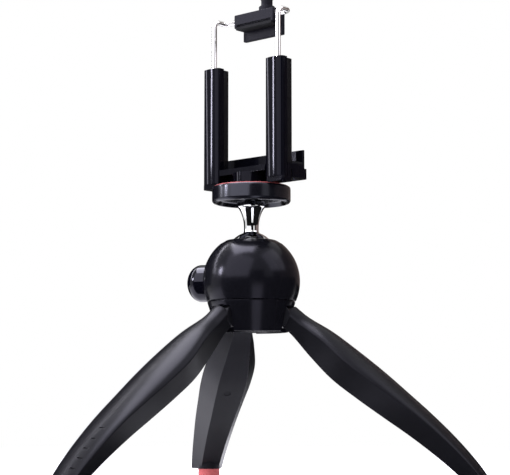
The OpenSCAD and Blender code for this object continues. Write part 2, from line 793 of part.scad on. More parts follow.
module leg(angle) {
    color(plastic) toward(angle) difference() {
        union() {
            translate([hinge_reach, 0, hinge_z]) {
                rotate([90, 0, 0]) cylinder(r = knuckle_r, h = knuckle_w, center = true);
                rotate([0, leg_splay, 0]) {
                    translate([0, -knuckle_w / 2, -neck_half_h])
                        cube([leg_root + bite, knuckle_w, 2 * neck_half_h]);
                    leg_blade();
                }
            }
            // The heel round the foot, ended inside the leg
            intersection() {
                translate([foot_reach, 0, 0]) cylinder(r = foot_r + heel_rim, h = hinge_z);
                translate([hinge_reach, 0, hinge_z]) rotate([0, leg_splay, 0])
                    translate([0, -leg_half_w, heel_rise - hinge_z])
                        cube([leg_length + leg_tail, 2 * leg_half_w, hinge_z]);
            }
        }
        translate([hinge_reach, -2 * leg_half_w, leg_cut - hinge_z])
            cube([leg_length, 4 * leg_half_w, hinge_z]);
        translate([hinge_reach, 0, hinge_z]) rotate([90, 0, 0])
            cylinder(r = hinge_pin_r + hinge_play, h = knuckle_w + 2 * cut, center = true);
        translate([foot_reach, 0, leg_cut - cut]) cylinder(r = plug_r + press_fit, h = plug_h + cut);
    }
}

module foot(angle) {
    color(rubber) toward(angle) translate([foot_reach, 0, 0]) rotate_extrude() polygon([
        [0, 0],
        [foot_r - foot_round, 0],
        [foot_r, foot_round],
        [foot_r, leg_cut],
        [plug_r, leg_cut],
        [plug_r, leg_cut + plug_h],
        [0, leg_cut + plug_h]
    ]);
}

module leg_right() leg(leg_angles[0]);
module leg_back() leg(leg_angles[1]);
module leg_front() leg(leg_angles[2]);
module foot_right() foot(leg_angles[0]);
module foot_back() foot(leg_angles[1]);
module foot_front() foot(leg_angles[2]);

module leg_pins() color(steel) for (a = leg_angles) toward(a)
    translate([hinge_reach, 0, hinge_z]) rotate([90, 0, 0])
        cylinder(r = hinge_pin_r, h = hinge_pin_l, center = true);

// Upright holes for the clamp's screws, one in each sleeve and one in each cover
module clamp_screw_holes(r, z, h) {
    for (side = [-1, 1], y = [cover_t / 2, (cover_t + sleeve_d) / 2])
        translate([side * (sleeve_x - clamp_screw_inset), -y, z]) cylinder(r = r, h = h);
}

module clip_base() color(gloss) on_centre() difference() {
    block_x = sleeve_x - sleeve_w / 2;
    union() {
        translate([0, 0, clamp_z]) cylinder(r = base_boss_r, h = base_boss_h + bite);
        translate([-base_half_w, -sleeve_d, bridge_z])
            rounded_plate([2 * base_half_w, sleeve_d + ledge_y + ledge_l, bridge_t], corner_r);
        for (side = [-1, 1])
            translate([side * (block_x + base_half_w) / 2 - (base_half_w - block_x) / 2, -sleeve_d, clamp_z])
                rounded_plate([base_half_w - block_x, sleeve_d + ledge_y, base_boss_h + bite], corner_r);
        translate([-base_half_w, ledge_y, bridge_z - ledge_drop])
            rounded_plate([2 * base_half_w, ledge_l, ledge_z - bridge_z + ledge_drop], lip_round);
        translate([-base_half_w, lip_y, bridge_z - ledge_drop])
            rounded_plate([2 * base_half_w, lip_t, ledge_z + lip_h - bridge_z + ledge_drop], lip_round);
        translate([-base_half_w, lip_y, bridge_z - ledge_drop])
            rounded_plate([2 * base_half_w, lip_t + toe_l, toe_h], corner_r);
    }
    translate([0, 0, clamp_z - cut]) cylinder(r = insert_r, h = base_boss_h + cut);
    clamp_screw_holes(clamp_screw_r + screw_gap, clamp_z, bridge_z - clamp_z + bridge_t + cut);
    clamp_screw_holes(clamp_head_r + screw_gap, clamp_z - cut, clamp_screw_sink + clamp_head_h + cut);
}

module socket_insert() color(brass) on_centre() difference() {
    translate([0, 0, clamp_z]) cylinder(r = insert_r, h = base_boss_h);
    translate([0, 0, clamp_z - cut]) cylinder(r = thread_bore_r, h = base_boss_h + 2 * cut);
    translate([0, 0, clamp_z - insert_chamfer])
        cylinder(r1 = thread_bore_r + 2 * insert_chamfer, r2 = thread_bore_r, h = 2 * insert_chamfer);
}

module base_pad() color(plastic) on_centre()
    translate([-base_half_w, ledge_y, ledge_z])
        rounded_plate([2 * base_half_w, ledge_l - lip_t, base_pad_t], lip_round);

// The whole outline of a sleeve with its bulged rear face, from the front plane back
module sleeve_block(h) {
    bulge_r = (pow(sleeve_w / 2, 2) + pow(sleeve_bulge, 2)) / (2 * sleeve_bulge);
    rear = sleeve_d + sleeve_bulge;
    intersection() {
        translate([-sleeve_w / 2, -rear, 0]) rounded_plate([sleeve_w, rear + corner_r, h], corner_r);
        translate([0, bulge_r - rear, 0]) cylinder(r = bulge_r, h = h);
    }
}

module sleeve(side) {
    color(gloss) on_centre() difference() {
        translate([side * sleeve_x, 0, sleeve_z]) intersection() {
            sleeve_block(sleeve_h);
            translate([-sleeve_w, -cover_t - 2 * sleeve_d, 0]) cube([2 * sleeve_w, 2 * sleeve_d, sleeve_h]);
        }
        translate([side * rod_x, -rod_y, sleeve_z - cut]) cylinder(r = channel_r, h = sleeve_h + 2 * cut);
        clamp_screw_holes(clamp_screw_r + press_fit, sleeve_z - cut, clamp_screw_l);
    }
}

module cover(side) {
    cover_h = sleeve_h - cover_step;
    color(gloss) on_centre() difference() {
        translate([side * sleeve_x - sleeve_w / 2, -cover_t, sleeve_z]) cube([sleeve_w, cover_t, cover_h]);
        translate([side * rod_x, -rod_y, sleeve_z - cut]) cylinder(r = channel_r, h = sleeve_h + 2 * cut);
        clamp_screw_holes(clamp_screw_r + press_fit, sleeve_z - cut, clamp_screw_l);
    }
}

module bush(side) {
    color(steel) on_centre() translate([side * rod_x, -rod_y, bush_z]) difference() {
        union() {
            cylinder(r = channel_r - press_fit, h = bush_h);
            translate([0, 0, bush_h]) cylinder(r = bush_collar_r, h = bush_collar_h);
        }
        translate([0, 0, -cut]) cylinder(r = wire_r + wire_play, h = bush_h + bush_collar_h + 2 * cut);
    }
}

module spring(side) {
    spring_l = bush_z - stop_top_z;
    color(steel) on_centre() translate([side * rod_x, -rod_y, stop_top_z]) difference() {
        cylinder(r = spring_r, h = spring_l);
        translate([0, 0, -cut]) cylinder(r = wire_r + spring_gap, h = spring_l + 2 * cut);
    }
}

module sleeve_left() sleeve(-1);
module sleeve_right() sleeve(1);
module cover_left() cover(-1);
module cover_right() cover(1);
module bush_left() bush(-1);
module bush_right() bush(1);
module spring_left() spring(-1);
module spring_right() spring(1);

// The bail: two rods that bend forward, then inward through the jaw
module wire_bail() color(steel) on_centre() {
    run = rod_y + wire_y - 2 * bend_r;
    for (side = [-1, 1]) {
        translate([side * rod_x, -rod_y, rod_z]) cylinder(r = wire_r, h = wire_z - bend_r - rod_z);
        translate([side * rod_x, bend_r - rod_y, wire_z - bend_r]) rotate([90, 0, -90])
            rotate_extrude(angle = 90) translate([bend_r, 0]) circle(r = wire_r);
        translate([side * rod_x, bend_r - rod_y, wire_z]) rotate([-90, 0, 0]) cylinder(r = wire_r, h = run);
        translate([side * (rod_x - bend_r), wire_y - bend_r, wire_z]) rotate([0, 0, side > 0 ? 0 : 90])
            rotate_extrude(angle = 90) translate([bend_r, 0]) circle(r = wire_r);
    }
    translate([0, wire_y, wire_z]) rotate([0, 90, 0])
        cylinder(r = wire_r, h = 2 * (rod_x - bend_r), center = true);
}

module bail_stops() color(steel) on_centre() for (side = [-1, 1])
    translate([side * rod_x, -rod_y, rod_z]) difference() {
        cylinder(r = stop_r, h = stop_h);
        translate([0, 0, -cut]) cylinder(r = wire_r, h = stop_h + 2 * cut);
    }

module upper_jaw() color(grey) on_centre() difference() {
    union() {
        translate([-jaw_half_w, jaw_y, jaw_z]) rounded_plate([2 * jaw_half_w, jaw_d, jaw_h], jaw_corner_r);
        translate([-jaw_half_w, jaw_y + jaw_d - jaw_lip_t, jaw_z - jaw_lip_h])
            rounded_plate([2 * jaw_half_w, jaw_lip_t, jaw_lip_h + jaw_h / 2], lip_round);
    }
    translate([0, wire_y, wire_z]) rotate([0, 90, 0])
        cylinder(r = wire_r + wire_play, h = 2 * (jaw_half_w + cut), center = true);
    translate([knob_x, jaw_y + knob_y, jaw_top_z - knob_spigot_h])
        cylinder(r = knob_spigot_r, h = knob_spigot_h + cut);
}

module jaw_pad() color(rubber) on_centre()
    translate([-jaw_half_w + jaw_corner_r / 2, jaw_y, jaw_pad_z])
        rounded_plate([2 * jaw_half_w - jaw_corner_r, jaw_d - jaw_lip_t, jaw_pad_t], lip_round);

// A knob with a waisted neck and a domed head
module pull_knob() color(grey) on_centre() {
    dome_steps = 12;
    dome_h = knob_head_h / 2;
    dome_z = knob_foot_h + knob_neck_h + knob_head_h - dome_h;
    translate([knob_x, jaw_y + knob_y, jaw_top_z]) rotate_extrude() polygon(concat(
        [
            [0, -knob_spigot_h],
            [knob_spigot_r, -knob_spigot_h],
            [knob_spigot_r, 0],
            [knob_foot_r, 0],
            [knob_foot_r, knob_foot_h],
            [knob_neck_r, knob_foot_h],
            [knob_neck_r, knob_foot_h + knob_neck_h]
        ],
        [for (i = [0:dome_steps]) let (a = 90 * i / dome_steps) [knob_head_r * cos(a), dome_z + dome_h * sin(a)]]
    ));
}

module clip_screws() color(steel) on_centre() {
    head_z = clamp_z + clamp_screw_sink;
    clamp_screw_holes(clamp_head_r, head_z, clamp_head_h);
    clamp_screw_holes(clamp_screw_r, head_z + clamp_head_h, clamp_screw_l);
}

upper_shell();
lower_shell();
bottom_cap();
shell_screws();
ball_collar();
ball_seat();
pressure_plate();
lock_slide();
release_button();
button_spring();
ball_stem();
leg_right();
leg_back();
leg_front();
foot_right();
foot_back();
foot_front();
leg_pins();
platform();
platform_pad();
mount_screw();
clip_base();
socket_insert();
base_pad();
sleeve_left();
sleeve_right();
cover_left();
cover_right();
bush_left();
bush_right();
spring_left();
spring_right();
wire_bail();
bail_stops();
upper_jaw();
jaw_pad();
pull_knob();
clip_screws();
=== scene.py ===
import math

import bpy
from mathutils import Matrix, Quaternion, Vector


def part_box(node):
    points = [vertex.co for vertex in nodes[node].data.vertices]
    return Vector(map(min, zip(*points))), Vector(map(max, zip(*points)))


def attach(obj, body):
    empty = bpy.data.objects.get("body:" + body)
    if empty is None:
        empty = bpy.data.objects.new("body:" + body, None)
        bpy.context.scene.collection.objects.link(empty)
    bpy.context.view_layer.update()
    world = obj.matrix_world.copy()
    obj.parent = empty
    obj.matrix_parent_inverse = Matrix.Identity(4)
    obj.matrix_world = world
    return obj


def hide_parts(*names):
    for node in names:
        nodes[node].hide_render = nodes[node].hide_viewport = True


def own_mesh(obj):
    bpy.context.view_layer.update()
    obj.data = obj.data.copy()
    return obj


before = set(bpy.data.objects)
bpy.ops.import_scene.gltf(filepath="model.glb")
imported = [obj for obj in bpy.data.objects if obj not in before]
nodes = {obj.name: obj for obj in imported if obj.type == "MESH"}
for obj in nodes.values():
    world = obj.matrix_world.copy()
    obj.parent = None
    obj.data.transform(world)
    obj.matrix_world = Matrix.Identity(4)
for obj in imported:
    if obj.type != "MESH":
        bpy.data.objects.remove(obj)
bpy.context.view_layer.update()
MM = 0.001

# The camera stands low in front of the clamp's back and looks up a little.
# The ball stem is round, so the middle of its box gives the tripod's centre line.
stem_low, stem_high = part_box("ball_stem")
column = (stem_low + stem_high) / 2
CAMERA_X, CAMERA_Y, CAMERA_Z = 490.5, -538.3, 42
CAMERA_TURN, CAMERA_PITCH = 42.2, 6.25
LENS, CLIP_START = 105.9, 0.01


def at(x, y, z):
    """A place in millimetres from the tripod's centre line and the table."""
    return column.x + x * MM, column.y + y * MM, z * MM


bpy.ops.object.select_all(action="DESELECT")
bpy.ops.object.camera_add(
    location=at(CAMERA_X, CAMERA_Y, CAMERA_Z),
    rotation=(math.radians(90 + CAMERA_PITCH), 0, math.radians(CAMERA_TURN)),
)
camera = bpy.context.object
camera.data.lens = LENS
camera.data.clip_start = CLIP_START
bpy.context.scene.camera = camera
bpy.context.scene.view_settings.view_transform = "Standard"


# The studio is a wide pale table that fades into a white surround.
# Soft boxes light it from both sides and from above, and cards darken what shiny parts mirror.
class Level:
    """A value in a node tree; sums and products of it add their Math nodes."""

    def __init__(self, tree, socket):
        self.tree = tree
        self.socket = socket

    def reckon(self, operation, other):
        return self.tree.add("ShaderNodeMath", {"operation": operation}, {0: self, 1: other})

    def __add__(self, other):
        return self.reckon("ADD", other)

    def __mul__(self, other):
        return self.reckon("MULTIPLY", other)

    __radd__ = __add__
    __rmul__ = __mul__

    def either(self, other):
        """The larger of this value and another."""
        return self.reckon("MAXIMUM", other)


class Tree:
    """A node tree of a material or of the surround."""

    def __init__(self, owner):
        owner.use_nodes = True
        self.nodes = owner.node_tree.nodes
        self.link = owner.node_tree.links.new

    def add(self, kind, settings=None, inputs=None, output=0):
        """Adds a node with its settings and inputs, and returns one of its outputs."""
        node = self.nodes.new(kind)
        for name, value in (settings or {}).items():
            setattr(node, name, value)
        for name, value in (inputs or {}).items():
            self.feed(node.inputs[name], value)
        return Level(self, node.outputs[output])

    def feed(self, socket, value):
        """Links a level to a socket, or sets a fixed value on it."""
        if isinstance(value, Level):
            self.link(value.socket, socket)
        else:
            socket.default_value = value


class Finish(Tree):
    """One procedural finish, laid out on the piece's own coordinates."""

    def __init__(self, name, **fixed):
        self.material = bpy.data.materials.new(name)
        super().__init__(self.material)
        self.shader = self.nodes["Principled BSDF"]
        for socket, value in fixed.items():
            self.feed(self.shader.inputs[socket.replace("_", " ")], value)
        self.place = self.add("ShaderNodeTexCoord", output="Object")

    def noise(self, scale, detail=2, stretch=(1, 1, 1)):
        mapped = self.add("ShaderNodeMapping", inputs={"Vector": self.place, "Scale": stretch})
        return self.add("ShaderNodeTexNoise", inputs={"Vector": mapped, "Scale": scale, "Detail": detail})

    def grain(self, scale, shades, rough, detail=3, relief=0, stretch=(1, 1, 1), cloud=0):
        """Lets colour and roughness follow a fine grain, which can also stand up by so many millimetres.

        The shades are two colours, and rough holds the least roughness and how far the grain adds to it.
        With a cloud, the colour follows that much coarser noise instead.
        """
        level = self.noise(scale, detail, stretch)
        dark, light = [(*shade, 1) for shade in shades]
        share = self.noise(cloud) if cloud else level
        colour = self.add("ShaderNodeMix", {"data_type": "RGBA"}, {0: share, 6: dark, 7: light}, output=2)
        self.feed(self.shader.inputs["Base Color"], colour)
        least, added = rough
        self.feed(self.shader.inputs["Roughness"], least + added * level)
        if relief:
            bump = self.add("ShaderNodeBump", inputs={"Height": level, "Distance": relief * MM})
            self.feed(self.shader.inputs["Normal"], bump)


TABLE_SIZE = 8
TABLE_COLOUR = (0.86, 0.86, 0.87, 1)
WHITE = (1, 1, 1, 1)
FADE_START, FADE_END = 0.22, 0.75
bpy.ops.mesh.primitive_plane_add(size=TABLE_SIZE, location=at(0, 0, 0))
table_top = bpy.context.object
table_top.name = "table_top"
pale = Finish("pale_table", Base_Color=TABLE_COLOUR, Roughness=0.9)
away = pale.add("ShaderNodeVectorMath", {"operation": "LENGTH"}, {0: pale.place}, output="Value")
fade = pale.add("ShaderNodeMapRange", {"interpolation_type": "SMOOTHSTEP"},
                {"Value": away, "From Min": FADE_START, "From Max": FADE_END})
seen = pale.add("ShaderNodeLightPath", output="Is Camera Ray")
mirrored = pale.add("ShaderNodeLightPath", output="Is Glossy Ray")
bare = Level(pale, pale.shader.outputs[0])
white_light = pale.add("ShaderNodeEmission", inputs={"Color": WHITE, "Strength": 1})
veil = pale.add("ShaderNodeMixShader", inputs={0: fade * (seen + mirrored), 1: bare, 2: white_light})
pale.feed(pale.nodes["Material Output"].inputs["Surface"], veil)
table_top.data.materials.append(pale.material)

# The surround is white to the camera and in reflections, and lights the set more softly than it looks.
ROOM_LIGHT = 0.55
world = bpy.data.worlds.new("white_surround")
bpy.context.scene.world = world
surround = Tree(world)
seen = surround.add("ShaderNodeLightPath", output="Is Camera Ray")
mirrored = surround.add("ShaderNodeLightPath", output="Is Glossy Ray")
through = surround.add("ShaderNodeLightPath", output="Is Transmission Ray")
bright = seen.either(mirrored).either(through)
strength = surround.add("ShaderNodeMapRange", inputs={"Value": bright, "To Min": ROOM_LIGHT, "To Max": 1})
backdrop = surround.nodes["Background"]
surround.feed(backdrop.inputs["Strength"], strength)
surround.feed(backdrop.inputs["Color"], WHITE)

# Each soft box: degrees right of the camera, distance, height, the width and height of its face, watts
# and roll. The left box draws the line down the sleeves, and the edge box the crescent on the housing.
SOFT_BOXES = {
    "left_box": (-79, 0.72, 0.337, 0.05, 0.14, 3.0, 0),
    "edge_box": (-112, 0.385, 0.343, 0.025, 0.42, 0.6, 42),
    "high_bank": (-100, 0.12, 0.70, 0.50, 0.42, 10.0, 0),
    "low_bank": (-35, 0.46, 0.40, 0.62, 0.52, 2.8, 0),
    "right_box": (70, 0.60, 0.62, 0.60, 0.60, 2.5, 0),
}
LAMP_COLOUR = (0.92, 0.91, 1.0)
AIM = Vector((column.x, column.y, 0.12))


def around(turn, reach, height):
    """A place in metres, so many degrees to the right of the camera as seen from the tripod."""
    angle = math.radians(CAMERA_TURN - 90 + turn)
    return Vector((column.x + reach * math.cos(angle), column.y + reach * math.sin(angle), height))


for box_name, (turn, reach, height, face_w, face_h, power, roll) in SOFT_BOXES.items():
    spot = around(turn, reach, height)
    bpy.ops.object.light_add(type="AREA", location=spot)
    lamp = bpy.context.object
    lamp.name = box_name
    lamp.data.shape = "RECTANGLE"
    lamp.data.size = face_w
    lamp.data.size_y = face_h
    lamp.data.energy = power
    lamp.data.color = LAMP_COLOUR
    aimed = (AIM - spot).to_track_quat("-Z", "Y") @ Quaternion((0, 0, 1), math.radians(roll))
    lamp.rotation_euler = aimed.to_euler()


def new_point(name):
    """A new piece of one point at the origin, left in edit mode with that point selected."""
    bpy.ops.object.select_all(action="DESELECT")
    bpy.ops.mesh.primitive_plane_add(size=1)
    piece = bpy.context.object
    piece.name = name
    piece.data.name = name
    bpy.ops.object.mode_set(mode="EDIT")
    bpy.ops.mesh.merge(type="CENTER")
    return piece


def draw(places):
    """Moves the point to the first place and draws a line on through the others."""
    bpy.ops.transform.translate(value=places[0])
    for here, there in zip(places, places[1:]):
        step = [b - a for a, b in zip(here, there)]
        bpy.ops.mesh.extrude_region_move(TRANSFORM_OT_translate={"value": step})


# Cards stand round the set, as a photographer sets them to give shiny parts their dark lines, and only
# reflections see them. Each has a first and a last turn, the reach and height of each fold, and a shade.
BLACK_CARD = (0.004, 0.004, 0.004, 1)
TAN_CARD = (0.30, 0.235, 0.215, 1)
FRONT_FOLDS = [(0.03, 0.0005), (0.32, 0.0005), (0.32, 0.14)]
BACK_FOLDS = [(0.32, 0.0005), (0.32, 0.11)]
SCREEN_FOLDS = [(1.2, 0), (1.2, 0.6)]
WALL_FOLDS = [(1.6, 0), (1.6, 1.5)]
CARD_STEPS = 24
CARDS = {
    "front_card_left": (-74, 2, FRONT_FOLDS, BLACK_CARD),
    "front_card_right": (27, 124, FRONT_FOLDS, BLACK_CARD),
    "camera_card": (-6, 31, SCREEN_FOLDS, BLACK_CARD),
    "slim_card": (52, 72, SCREEN_FOLDS, BLACK_CARD),
    "right_card": (72, 176, WALL_FOLDS, TAN_CARD),
    "left_card": (-176, -108, WALL_FOLDS, BLACK_CARD),
    "back_card": (130, 230, BACK_FOLDS, BLACK_CARD),
}
for card_name, (first_turn, last_turn, folds, shade) in CARDS.items():
    card = new_point(card_name)
    draw([around(first_turn, reach, height) for reach, height in folds])
    bpy.ops.mesh.select_all(action="SELECT")
    bpy.ops.mesh.spin(steps=CARD_STEPS, angle=math.radians(last_turn - first_turn),
                      center=at(0, 0, 0), axis=(0, 0, -1))
    bpy.ops.object.mode_set(mode="OBJECT")
    card_finish = Finish(card_name, Base_Color=shade, Roughness=1, Specular_IOR_Level=0)
    card.data.materials.append(card_finish.material)
    card.visible_camera = False
    card.visible_diffuse = False
    card.visible_shadow = False


# The lower hub is one satin black moulding, with a slot for each leg and a small chamfer round its lower
# edge. The cap that closes it from below is one with it here, with a groove for their joint line, and a
# thin shadow line parts it from the upper shell.
LEG_TURNS = {"right": 25, "back": 145, "front": 265}
HUB_OUTLINE = [
    (0, 75.5), (17.1, 75.5), (17.25, 75.75), (17.5, 75.75), (17.6, 75.5), (17.85, 75.6), (18.1, 76.1),
    (18.7, 79), (19.25, 82), (19.75, 84.4), (20.35, 86.6), (21.0, 88.6), (21.35, 89.8), (21.3, 90.0),
    (20.9, 90.1), (20.9, 90.55), (17.5, 90.55), (17.5, 90.4), (0, 90.4),
]
SLOT_START, SLOT_END, SLOT_BOTTOM, SLOT_TOP, SLOT_HALF_W = 8.5, 30, 69, 88.9, 6.2
VISOR_START, VISOR_Z = 19.2, 87.5
STAGGER_X, STAGGER_Y, STAGGER_Z = 3, 0.05, 1
MERGE = 0.002 * MM
centre = at(0, 0, 0)


def seal(open_ends=False):
    """Merges points that meet, closes any open ends, turns all faces outward and leaves edit mode."""
    bpy.ops.mesh.select_all(action="SELECT")
    bpy.ops.mesh.remove_doubles(threshold=MERGE)
    if open_ends:
        bpy.ops.mesh.select_all(action="DESELECT")
        bpy.ops.mesh.select_non_manifold()
        bpy.ops.mesh.fill_holes(sides=0)
        bpy.ops.mesh.select_all(action="SELECT")
    bpy.ops.mesh.normals_make_consistent(inside=False)
    bpy.ops.object.mode_set(mode="OBJECT")


def spun(name, outline, middle=(0, 0, 0), steps=96):
    """A turned piece from an outline of radii and heights in millimetres, spun round an upright line."""
    piece = new_point(name)
    x, y, z = middle
    draw([(x + r * MM, y, z + h * MM) for r, h in outline])
    bpy.ops.mesh.select_all(action="SELECT")
    bpy.ops.mesh.spin(steps=steps, angle=math.tau, center=middle, axis=(0, 0, 1))
    seal()
    return piece


def block(name, low, high):
    """A box between two corners in millimetres."""
    bpy.ops.object.select_all(action="DESELECT")
    middle = [(a + b) / 2 * MM for a, b in zip(low, high)]
    bpy.ops.mesh.primitive_cube_add(size=1, location=middle)
    piece = bpy.context.object
    piece.name = name
    piece.scale = [(b - a) * MM for a, b in zip(low, high)]
    settle(piece)
    return piece


def pick(piece):
    """Makes this piece the only selected one, and the active one."""
    bpy.ops.object.select_all(action="DESELECT")
    piece.select_set(True)
    bpy.context.view_layer.objects.active = piece


def settle(piece):
    """Puts a piece's place, turn and size into its mesh."""
    pick(piece)
    bpy.ops.object.transform_apply(location=True, rotation=True, scale=True)


def place(piece, location, turn=0, tip=0):
    """Tips a piece forward, turns it round the upright line and moves it, all in its mesh."""
    piece.location = location
    piece.rotation_euler = (0, math.radians(tip), math.radians(turn))
    settle(piece)
    return piece


def work(piece, kind, **settings):
    """Shapes a piece with a modifier, which is applied at once."""
    pick(piece)
    modifier = piece.modifiers.new(kind.lower(), kind)
    for name, value in settings.items():
        setattr(modifier, name, value)
    bpy.ops.object.modifier_apply(modifier=modifier.name)


def carve(piece, tool, operation="DIFFERENCE"):
    """Cuts the tool out of the piece, or joins it on, and throws the tool away."""
    work(piece, "BOOLEAN", operation=operation, object=tool, solver="EXACT")
    bpy.data.objects.remove(tool, do_unlink=True)


def smooth(piece, angle=32):
    """Shades the curved faces smooth and leaves true edges crisp."""
    pick(piece)
    bpy.ops.object.shade_smooth_by_angle(angle=math.radians(angle))
    work(piece, "WEIGHTED_NORMAL", keep_sharp=True)


def dress(finish, *pieces):
    """Gives pieces one finish; a name stands for the solid of that name, which is shown as it is."""
    for piece in pieces:
        target = nodes[piece] if isinstance(piece, str) else piece
        target.data.materials.clear()
        target.data.materials.append(finish.material)


def slot_tool():
    """The three leg slots as one cutting tool, with the low visor over each leg's root.

    Each slot has a deep inner block and a lower outer one, staggered so that no two faces lie in one plane.
    """
    inner_w = SLOT_HALF_W - STAGGER_Y
    tools = []
    for turn in LEG_TURNS.values():
        outer = block("slot", (SLOT_START + STAGGER_X, -SLOT_HALF_W, SLOT_BOTTOM + STAGGER_Z),
                      (SLOT_END, SLOT_HALF_W, VISOR_Z))
        inner = block("slot", (SLOT_START, -inner_w, SLOT_BOTTOM), (VISOR_START, inner_w, SLOT_TOP))
        tools += [place(tool, centre, turn) for tool in (outer, inner)]
    first = tools.pop(0)
    for tool in tools:
        carve(first, tool, "UNION")
    return first


satin = Finish("satin_black", Specular_IOR_Level=0.12, Specular_Tint=(0.84, 0.82, 1, 1))
satin.grain(scale=5200, shades=[(0.0022, 0.0022, 0.0032), (0.0042, 0.0042, 0.0058)],
            rough=(0.15, 0.10), relief=0.006, cloud=60)
hub = spun("lower_hub", HUB_OUTLINE, centre)
carve(hub, slot_tool())
smooth(hub)
dress(satin, hub)
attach(hub, "housing")
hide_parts("lower_shell", "bottom_cap")

# The upper shell is a second black moulding, a ball with a flat crown and a round mouth for the ball head.
# A round hole in its side, with a small chamfer, takes the release button.
SHELL_MIDDLE_Z, SHELL_R, HOLLOW_MIDDLE_Z, HOLLOW_R = 100.2, 23.7, 99.5, 21.5
BALL_Z, BALL_R, BALL_GAP = 112.2, 12.3, 0.4
BUTTON_TURN, BUTTON_Z = 205, 99.8
HOLE_OUTLINE = [(0, 12), (9.3, 12), (9.3, 21.2), (10.2, 22.4), (10.2, 32), (0, 32)]


def arc(middle, radius, first, last, steps):
    """Places along part of a circle, between two angles in degrees up from level."""
    turns = [math.radians(first + (last - first) * i / steps) for i in range(steps + 1)]
    return [(middle[0] + radius * math.cos(a), middle[1] + radius * math.sin(a)) for a in turns]


shell_outline = (
    [(19.0, 90.35), (20.8, 90.35), (21.25, 90.5)]
    + arc((0, SHELL_MIDDLE_Z), SHELL_R, -23.5, 50, 42)
    + [(13.9, 119.1), (12.9, 119.75), (12.2, 120.1), (11.4, 120.3), (10.6, 120.35), (9.9, 120.3),
       (9.7, 120.15)]
    + arc((0, BALL_Z), BALL_R + BALL_GAP, 38, 26, 6)
    + arc((0, HOLLOW_MIDDLE_Z), HOLLOW_R, 56, -22, 30)
    + [(19.0, 91.5)]
)
shell = spun("upper_shell_cover", shell_outline + shell_outline[:1], centre)
hole_tool = place(spun("hole", HOLE_OUTLINE), at(0, 0, BUTTON_Z), BUTTON_TURN, tip=90)
carve(shell, hole_tool)
smooth(shell)
dress(satin, shell)
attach(shell, "housing")
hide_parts("upper_shell")

# The release button is a high gloss black dome that slides in the shell's side hole.
# Its rim stands out of the hole, and a spring behind it pushes it back.
polish = Finish("button_black", Specular_IOR_Level=0.22, Specular_Tint=(0.85, 0.84, 1, 1))
polish.grain(scale=300, shades=[(0.001, 0.001, 0.0022), (0.002, 0.002, 0.0035)],
             rough=(0.02, 0.03), detail=2, relief=0.004)
BUTTON_R, DOME_START, DOME_H = 9.1, 25.2, 7.2
button_outline = (
    [(0, 24.2), (7.6, 24.2), (7.6, 19), (9.0, 19), (BUTTON_R, 19.2), (BUTTON_R, 25.0)]
    + [(BUTTON_R * r, DOME_START + DOME_H * z) for r, z in arc((0, 0), 1, 0, 90, 20)]
)
button = place(spun("gloss_button", button_outline), at(0, 0, BUTTON_Z), BUTTON_TURN, tip=90)
smooth(button)
dress(polish, button)
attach(button, "button")
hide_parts("release_button")

# The ball head's stem is one turned and polished piece: a ball, a waisted neck and a flared flange.
# A nylon collar and seat hold the ball inside the shell, and the lock's plate presses from below.
stem_outline = (
    [(0, BALL_Z - BALL_R)]
    + arc((0, BALL_Z), BALL_R, -88, 71, 60)
    + [(3.72, 124.3), (3.62, 124.9), (3.6, 126), (3.62, 127.2), (3.7, 128.4), (3.86, 129.6), (4.1, 130.8),
       (4.42, 132), (4.8, 133.1), (5.2, 134.1), (5.65, 135), (6.15, 135.8), (6.6, 136.4), (6.75, 136.5),
       (6.9, 136.65), (6.9, 140.9), (6.8, 141.0), (3.2, 141.0), (3.2, 133.5), (0, 133.5)]
)
stem = spun("polished_stem", stem_outline, centre)
smooth(stem, angle=40)
chrome = Finish("chrome", Metallic=1)
chrome.grain(scale=400, shades=[(0.70, 0.71, 0.73), (0.78, 0.78, 0.79)],
             rough=(0.03, 0.04), detail=2)
dress(chrome, stem)
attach(stem, "ball")
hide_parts("ball_stem")

# The collar and the seat are nylon, as are the bushes round the rods.
nylon = Finish("nylon", Specular_IOR_Level=0.4)
nylon.grain(scale=500, shades=[(0.012, 0.012, 0.013), (0.02, 0.02, 0.022)],
            rough=(0.4, 0.1), detail=2)
dress(nylon, "ball_collar", "ball_seat")

# The head plate is a black moulding pressed on the stem's flange, hollow below inside a rounded skirt.
# A disc of red rubber on its top grips the clamp.
head_outline = (
    [(3.2, 141.0), (6.9, 141.0), (7.3, 140.6), (15.6, 140.6), (16.2, 140.2), (16.9, 138.5), (17.15, 138.3)]
    + arc((17.6, 140.0), 1.65, -90, 0, 8)
    + [(19.25, 145.2), (19.15, 145.9), (18.9, 146.3), (18.7, 146.4), (18.45, 146.35), (18.4, 146.0),
       (3.2, 146.0), (3.2, 141.0)]
)
head = spun("head_disc", head_outline, centre)
smooth(head)
plate_black = Finish("plate_black", Specular_IOR_Level=0.34, Specular_Tint=(0.82, 0.84, 1, 1))
plate_black.grain(scale=2600, shades=[(0.002, 0.002, 0.0032), (0.004, 0.004, 0.0058)],
                  rough=(0.14, 0.10), relief=0.006)
dress(plate_black, head)
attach(head, "ball")
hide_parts("platform")

# The disc is the same red rubber as the feet.
coral = Finish("red_rubber", Specular_IOR_Level=0.2)
coral.grain(scale=3500, shades=[(0.34, 0.065, 0.07), (0.42, 0.095, 0.095)],
            rough=(0.5, 0.2), relief=0.02)
grip_outline = [
    (3.2, 146.0), (18.2, 146.0), (18.25, 146.1), (18.25, 146.7), (18.1, 146.8), (3.2, 146.8), (3.2, 146.0),
]
grip = spun("grip_disc", grip_outline, centre)
smooth(grip)
dress(coral, grip)
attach(grip, "ball")
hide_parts("platform_pad")

